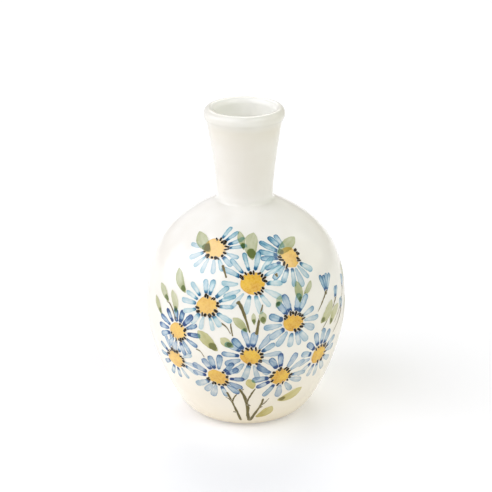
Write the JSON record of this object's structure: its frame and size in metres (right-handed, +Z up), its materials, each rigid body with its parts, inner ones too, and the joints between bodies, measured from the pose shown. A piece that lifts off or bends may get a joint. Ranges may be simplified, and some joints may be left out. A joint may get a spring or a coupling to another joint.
{
  "type": "sake bottle",
  "caption": "Squat ovoid ceramic sake bottle with a flared neck, rolled lip, turned foot ring and a painted spray of blue daisies.",
  "frame": {"origin": "centre of the circle that the foot ring stands on", "axes": "+Z up along the bottle's turning axis, out of the mouth; the painted front faces -Y"},
  "size_m": [0.0886, 0.0886, 0.14],
  "materials": {
    "glazed_body": "gloss",
    "glazed_neck": "gloss",
    "bare_clay": "matte"
  },
  "bodies": {
    "root": {"body": "glazed_body", "neck": "glazed_neck", "foot_ring": "bare_clay"}
  },
  "joints": []
}
